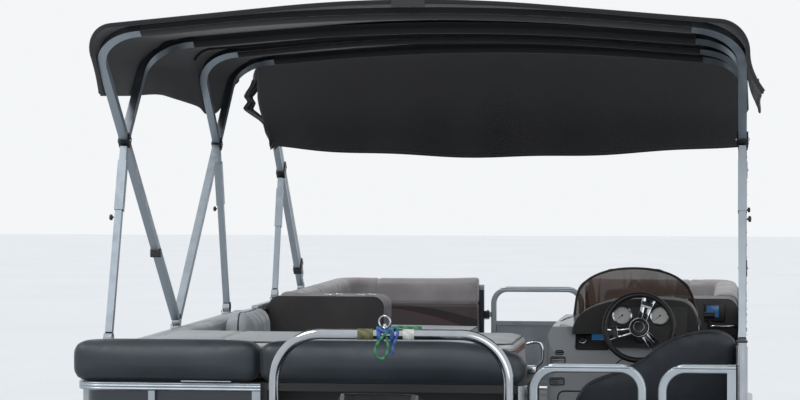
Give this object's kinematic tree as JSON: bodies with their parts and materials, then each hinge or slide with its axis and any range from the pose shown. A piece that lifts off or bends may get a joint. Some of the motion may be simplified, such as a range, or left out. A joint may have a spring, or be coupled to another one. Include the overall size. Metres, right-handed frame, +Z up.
{
  "type": "pontoon boat",
  "caption": "Pontoon boat with railed deck, stern sun pad, lounges, helm console, open canvas top, a second top folded back, tow bar and an outboard motor tilted up.",
  "frame": {"origin": "on the ground under the middle of the whole boat", "axes": "+X to starboard, +Y to the bow, +Z up from the keels"},
  "size_m": [2.59, 8.444, 2.9007],
  "materials": {
    "hull_aluminium": "mill finish, lightly oxidised",
    "deck_carpet": "low loop marine carpet",
    "trim_aluminium": "extruded, anodised",
    "rail_anodised": "fluted square tube, clear anodised",
    "fence_sheet": "dark navy enamel",
    "polished_tube": "polished stainless",
    "black_canvas": "woven acrylic",
    "black_plastic": "moulded nylon",
    "vinyl_charcoal": "dark marine vinyl",
    "vinyl_cream": "light taupe marine vinyl",
    "vinyl_taupe": "taupe marine vinyl",
    "seat_base": "rotomoulded base",
    "gelcoat": "white-grey gelcoat",
    "dash_black": "grained black",
    "gauge": "light dial faces behind a lens",
    "smoked_screen": "smoked acrylic",
    "wheel_rim": "soft rim on silver spokes",
    "motor_paint": "gloss black enamel",
    "motor_cast": "painted castings",
    "prop_steel": "cast stainless"
  },
  "bodies": {
    "boat": {"aft_bolsters": "vinyl_charcoal", "bow_lounge_port_back": "vinyl_cream", "bow_lounge_port_base": "seat_base", "bow_lounge_port_seat": "vinyl_cream", "bow_lounge_starboard_back": "vinyl_cream", "bow_lounge_starboard_base": "seat_base", "bow_lounge_starboard_seat": "vinyl_cream", "canopy": "black_canvas", "console": "gelcoat", "cross_members": "hull_aluminium", "dash": "dash_black", "deck": "deck_carpet", "deck_risers": "hull_aluminium", "deck_trim": "trim_aluminium", "fence_bow_port": "rail_anodised", "fence_port_side": "rail_anodised", "fence_starboard": "rail_anodised", "fence_stern_port": "rail_anodised", "fence_stern_starboard": "rail_anodised", "folded_bow_lower": "rail_anodised", "folded_bow_upper": "rail_anodised", "folded_canvas": "black_canvas", "helm_bench_back": "vinyl_charcoal", "helm_bench_base": "seat_base", "helm_bench_seat": "vinyl_cream", "instruments": "gauge", "light_bracket": "black_plastic", "lounge_pods": "vinyl_taupe", "motor_bracket": "motor_cast", "motor_pod": "hull_aluminium", "panel_bow_port": "fence_sheet", "panel_starboard": "fence_sheet", "panels_port": "fence_sheet", "pontoon_port": "hull_aluminium", "pontoon_starboard": "hull_aluminium", "port_bench_back": "vinyl_cream", "port_bench_base": "seat_base", "port_bench_seat": "vinyl_cream", "stern_posts": "polished_tube", "sun_pad": "vinyl_cream", "sundeck_base": "black_plastic", "throttle": "dash_black", "top_aux_bow_aft": "rail_anodised", "top_aux_bow_fore": "rail_anodised", "top_bow_aft": "rail_anodised", "top_bow_fore": "rail_anodised", "top_braces": "rail_anodised", "top_collars": "black_plastic", "top_feet": "polished_tube", "tow_bar": "polished_tube", "windscreen": "smoked_screen"},
    "bow_gate": {"bow_gate": "rail_anodised"},
    "stern_gate": {"stern_gate": "rail_anodised"},
    "side_gate": {"side_gate": "rail_anodised"},
    "swivel": {"motor_swivel": "motor_cast"},
    "motor": {"motor_leg": "motor_cast", "motor_cowl": "motor_paint"},
    "propeller": {"propeller": "prop_steel"},
    "steering_wheel": {"steering_wheel": "wheel_rim"}
  },
  "joints": [
    {"name": "bow_gate_swing", "type": "hinge", "parent": "boat", "child": "bow_gate", "pos_m": [-0.283, 3.742, 1.2], "axis": [0, 0, -1], "range_deg": [0, 90]},
    {"name": "stern_gate_swing", "type": "hinge", "parent": "boat", "child": "stern_gate", "pos_m": [0.914, -2.378, 1.2], "axis": [0, 0, -1], "range_deg": [0, 90]},
    {"name": "side_gate_swing", "type": "hinge", "parent": "boat", "child": "side_gate", "pos_m": [-1.24, 0.553, 1.2], "axis": [0, 0, -1], "range_deg": [0, 90]},
    {"name": "outboard_tilt", "type": "hinge", "parent": "boat", "child": "swivel", "pos_m": [0, -3.188, 0.86], "axis": [1, 0, 0], "range_deg": [0, 64]},
    {"name": "outboard_steer", "type": "hinge", "parent": "swivel", "child": "motor", "pos_m": [0, -3.222, 0.91889], "axis": [0, 0.866, 0.5], "range_deg": [-30, 30]},
    {"name": "propeller_spin", "type": "hinge", "parent": "motor", "child": "propeller", "pos_m": [0, -4.07115, 0.82966], "axis": [0, 0.5, -0.866], "continuous": true},
    {"name": "steering_wheel_turn", "type": "hinge", "parent": "boat", "child": "steering_wheel", "pos_m": [0.769, 0.062, 1.495], "axis": [0, 0.9397, -0.342], "range_deg": [-630, 630]}
  ],
  "couplings": [
    {"joint": "steering_wheel_turn", "follows": "outboard_steer", "ratio": 21}
  ]
}
